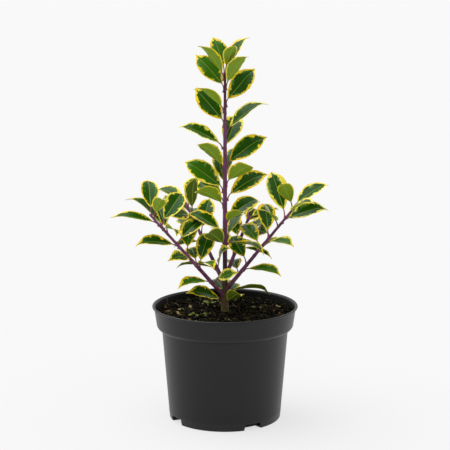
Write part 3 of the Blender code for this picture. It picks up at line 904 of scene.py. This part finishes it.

# Leaf skin gives the eye gold margins in two tones that tell neighbouring leaves apart, a glossy face in deep
# or mid green with paler patches, partly grey green variegation and partly painted sheen, and a pale line of
# a midrib, and an underside that is duller, with painted shade that darkens it where leaves stand deep in the
# crown.
LEAF_FINISHES = (
    # name, colour, roughness and specular level, and size and depth of the skin's unevenness in mm
    ("gold leaf margin", "#f5d416", 0.38, 0.25, 1.5, 0.08),
    ("pale gold leaf margin", "#f6e24a", 0.38, 0.25, 1.5, 0.08),
    ("deep green leaf face", "#224f00", 0.24, 0.14, 1.8, 0.12),
    ("mid green leaf face", "#386c02", 0.26, 0.16, 1.8, 0.12),
    # Grey green patch: partly the leaf's own variegation and partly painted sheen in place of glossy
    # highlights.
    ("grey green leaf patch", "#5a8232", 0.3, 0.2, 1.8, 0.12),
    ("pale leaf midrib", "#7c9c30", 0.4, 0.25, 1.5, 0.05),
    ("leaf underside", "#7c9a22", 0.5, 0.25, 1.2, 0.1),
    # A darker copy of the underside: painted shade for leaves that stand deep in the crown.
    ("shaded leaf underside", "#567215", 0.5, 0.25, 1.2, 0.1),
    ("leaf underside midrib", "#9fb443", 0.45, 0.25, 1.2, 0.05),
)
leaf_finishes = []
for name, colour, roughness, gloss, grain, depth in LEAF_FINISHES:
    finish, tree, shader, place = finish_of(name, colour, roughness, Specular_IOR_Level=gloss)
    add_relief(tree, shader, place, grain * MM, depth * MM)
    leaf_finishes.append(finish)
# Petioles show as thin maroon stalks, mottled with pink.
petiole_skin, tree, shader, place = finish_of("maroon petiole", "#7b3553", 0.42, Specular_IOR_Level=0.25)
add_mottle(tree, shader, place, 2 * MM, "#6a2a48", "#9a5a66")
leaf_finishes.append(petiole_skin)
GOLD, PALE_GOLD, DEEP, MID, GREY_PATCH_AND_SHEEN, RIB, UNDER, SHADED_UNDER, UNDER_RIB, STALK = range(10)


def blade_outline(share, length, teeth):
    """Half the blade's width at a share of its length, with a drawn out tip and a few small teeth."""
    width = blade_half_width(share, length)
    if share > TIP_BEND:
        width *= 1 - TIP_NARROWING * (share - TIP_BEND) / (1 - TIP_BEND)
    for tooth in teeth:
        width += TOOTH_HEIGHT * math.exp(-(((share - tooth) * length / TOOTH_WIDTH) ** 2))
    return max(width, LEAST_HALF_WIDTH)


def leaf_pattern(chance, base_margin):
    """Of each side and row of a leaf: the gold's width, where a patch would start, and if there is one."""
    margin, patch_start, blotched = {}, {}, {}
    for side in (-1, 1):
        finger = 0.0
        blotch = False
        for row in range(BLADE_ROWS + 1):
            if chance.random() < FINGER_CHANCE:
                finger = chance.uniform(*FINGER_LENGTHS) * MM
            elif chance.random() < FINGER_FADE_CHANCE:
                finger *= FINGER_FADE
            tip_share = max(0.0, row / BLADE_ROWS - TIP_GOLD_FROM) / (1 - TIP_GOLD_FROM)
            margin[side, row] = base_margin * chance.uniform(0.55, 1.2) + finger + tip_share * TIP_GOLD
            if chance.random() < BLOTCH_CHANCE:
                blotch = not blotch
            patch_start[side, row] = chance.uniform(0.5, 0.85)
            blotched[side, row] = blotch
    return margin, patch_start, blotched


def petiole_shape(foot, start, along, blade_way):
    """A thin stalk that rises from the limb, thickest there, and bends into the blade's foot."""
    control = start - blade_way.normalized() * (start - foot).length * 0.45
    end = start + along * 1.5 * MM
    rings = []
    for step in range(PETIOLE_STEPS):
        share = step / (PETIOLE_STEPS - 1)
        centre = foot * (1 - share) ** 2 + control * 2 * share * (1 - share) + end * share ** 2
        thick = (0.95 + 0.75 * math.exp(-share * 9) - 0.3 * share) * MM
        way = (control - foot).lerp(start - control, share).normalized()
        cross = way.cross(UP).normalized()
        rings.append(tube_ring(centre, cross, way.cross(cross), thick, PETIOLE_SIDES))
    return loft(rings)


def leaf_mesh(pose, chance):
    """One leaf: points, faces and the finish of each face."""
    limb, bearing, rise, turn, length, bow, curl = pose
    along, foot, start, level, upper = leaf_stand(limb, bearing, rise)
    teeth = {}
    for side in (-1, 1):
        teeth[side] = [chance.uniform(0.35, 0.9) for _ in range(chance.choice((0, 1, 1, 2)))]
    base_margin = chance.uniform(*MARGIN_WIDTHS) * MM
    # The paler patch colour, mid green or grey green, stands partly for painted sheen.
    dark, light = chance.choice(((DEEP, MID), (DEEP, MID), (MID, GREY_PATCH_AND_SHEEN), (DEEP, GREY_PATCH_AND_SHEEN)))
    rim = chance.choice((GOLD, GOLD, PALE_GOLD))
    # Low leaves mostly get the painted shade copy of the underside.
    under = SHADED_UNDER if limb[0].z < SHADE_HEIGHT and chance.random() < SHADE_CHANCE else UNDER
    wave_turn = chance.uniform(0, 6)
    hook = max(0.0, chance.uniform(-0.04, 0.06))
    wave_size = chance.uniform(0.2, 0.7) * MM
    margin, patch_start, blotched = leaf_pattern(chance, base_margin)
    points, faces, kinds = [], [], []
    upper_rows, under_rows = [], []
    for row in range(BLADE_ROWS + 1):
        share = row / BLADE_ROWS
        share = share + ROW_CROWDING * math.sin(math.pi * share) * (share - 0.5) * 2
        across, face = turned(level, upper, turn + curl * share)
        centre = start + along * length * share + face * (bow * length * (share - share ** BOW_BEND))
        centre -= face * (hook * length * max(0.0, (share - TIP_BEND) / (1 - TIP_BEND)) ** 2)
        places = []
        for side in (-1, 1):
            half = blade_outline(share, length, teeth[side])
            rib = min(MIDRIB * (1.1 - 0.7 * share), 0.3 * half)
            green = max(half - min(margin[side, row], 0.75 * half), 1.25 * rib)
            inner = rib + (green - rib) * patch_start[side, row]
            within, beyond, in_gold = (rib + inner) / 2, (inner + green) / 2, (green + half) / 2
            places.append([rib, within, inner, beyond, green, in_gold, half])
        offsets = [-x for x in reversed(places[0])] + [0.0] + places[1]
        top_row, under_row = [], []
        for offset in offsets:
            half = places[0][-1] if offset < 0 else places[1][-1]
            bend = abs(offset) / half
            wave = wave_size * bend ** 3 * math.sin(share * WAVE_PACE + wave_turn + (2 if offset < 0 else 0))
            wave *= math.sin(math.pi * share)
            lift = half * math.tan(KEEL) * (bend ** 1.25) + wave
            groove = MIDRIB_GROOVE if offset == 0 else 0.0
            spot = centre + across * offset + face * (lift - groove)
            top_row.append(len(points))
            points.append(spot)
            if bend < 0.999:
                ridge = MIDRIB_RIDGE * (1 - share) if offset == 0 else 0.0
                under_row.append(len(points))
                points.append(spot - face * (SKIN + ridge + groove))
            else:
                under_row.append(top_row[-1])
        upper_rows.append(top_row)
        under_rows.append(under_row)
    columns = len(upper_rows[0]) - 1
    middle = columns // 2
    for row in range(BLADE_ROWS):
        for column in range(columns):
            side = -1 if column < middle else 1
            step = middle - 1 - column if side < 0 else column - middle
            patch_kind = light if blotched[side, row] else dark
            top, below = upper_rows[row], under_rows[row]
            next_top, next_below = upper_rows[row + 1], under_rows[row + 1]
            faces.append((top[column], top[column + 1], next_top[column + 1], next_top[column]))
            kinds.append((RIB, dark, dark, patch_kind, patch_kind, rim, rim)[step])
            faces.append((below[column], next_below[column], next_below[column + 1], below[column + 1]))
            kinds.append((UNDER_RIB, under, under, under, under, under, rim)[step])
    blade_way = along + turned(level, upper, turn)[1] * bow
    stalk_points, stalk_faces = petiole_shape(foot, start, along, blade_way)
    faces += counted_on(stalk_faces, points)
    points += stalk_points
    kinds += [STALK] * len(stalk_faces)
    return points, faces, kinds


for seed, (mass, mass_poses) in enumerate(poses.items()):
    chance = random.Random(100 + seed)
    points, faces, kinds = [], [], []
    for pose in mass_poses:
        leaf_points, leaf_faces, leaf_kinds = leaf_mesh(pose, chance)
        faces += counted_on(leaf_faces, points)
        points += leaf_points
        kinds += leaf_kinds
    leaves = new_piece(mass.replace("foliage", "leaves"), points, faces, leaf_finishes, kinds, sharp=60)
    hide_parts(mass)


# Studio: a pale seamless floor that glows of itself, so that it stays near white all over, under a white sky
# and two very broad lamps that stand far off, the stronger one high on the left and a little behind.
FLOOR_REACH = 40.0
FLOOR_NEAR, FLOOR_FAR = -6, 60
FLOOR_GLOW = 0.685
studio, tree, shader, place = finish_of("white studio floor", "#757575", 0.8, Specular_IOR_Level=0.0)
shader.inputs["Emission Color"].default_value = linear("#ffffff")
shader.inputs["Emission Strength"].default_value = FLOOR_GLOW
near_side = [(-FLOOR_REACH, FLOOR_NEAR, 0), (FLOOR_REACH, FLOOR_NEAR, 0)]
far_side = [(FLOOR_REACH, FLOOR_FAR, 0), (-FLOOR_REACH, FLOOR_FAR, 0)]
floor_mesh = bpy.data.meshes.new("studio_floor")
floor_mesh.from_pydata(near_side + far_side, [], [(0, 1, 2, 3)])
floor_mesh.materials.append(studio)
floor = bpy.data.objects.new("studio_floor", floor_mesh)
bpy.context.scene.collection.objects.link(floor)

world = bpy.data.worlds.new("studio")
bpy.context.scene.world = world
world.use_nodes = True
FRONT_LIGHT, BACK_LIGHT = 0.24, 0.9  # the studio is darker on the camera's side
sky = world.node_tree
direction = add_node(sky, "ShaderNodeTexCoord").outputs["Generated"]
away = add_node(sky, "ShaderNodeSeparateXYZ", {"Vector": direction}).outputs["Y"]
light_range = {"From Min": -0.9, "From Max": 0.1, "To Min": FRONT_LIGHT, "To Max": BACK_LIGHT}
level = add_node(sky, "ShaderNodeMapRange", {"Value": away, **light_range})
sky.nodes["Background"].inputs["Color"].default_value = linear("#ffffff")
sky.links.new(level.outputs["Result"], sky.nodes["Background"].inputs["Strength"])
# Bearing, rise and spread of each lamp in degrees, and its strength
LAMPS = (("key", 160, 64, 60, 2.1), ("fill", 285, 60, 60, 0.5))
for name, bearing, rise, softness, strength in LAMPS:
    light = bpy.data.lights.new(name, "SUN")
    light.energy = strength
    light.angle = math.radians(softness)
    lamp = bpy.data.objects.new(name, light)
    lamp.location = heading(bearing, rise) * 3
    lamp.rotation_euler = heading(bearing, rise).to_track_quat("Z", "Y").to_euler()
    bpy.context.scene.collection.objects.link(lamp)
bpy.context.scene.view_settings.view_transform = "Standard"

# Camera: a long lens that looks down a little on the plant, at the photograph's distance, height and angle.
CAMERA_DISTANCE = 1.9
CAMERA_HEIGHT = 0.615
CAMERA_PITCH = 10.71
LENS, SENSOR = 119.6, 36
FARTHEST_SEEN = 200
camera_data = bpy.data.cameras.new("camera")
camera_data.sensor_width = SENSOR
camera_data.lens = LENS
camera_data.clip_end = FARTHEST_SEEN
camera = bpy.data.objects.new("camera", camera_data)
camera.location = (0, -CAMERA_DISTANCE, CAMERA_HEIGHT)
camera.rotation_euler = (math.radians(90 - CAMERA_PITCH), 0, 0)
bpy.context.scene.collection.objects.link(camera)
bpy.context.scene.camera = camera
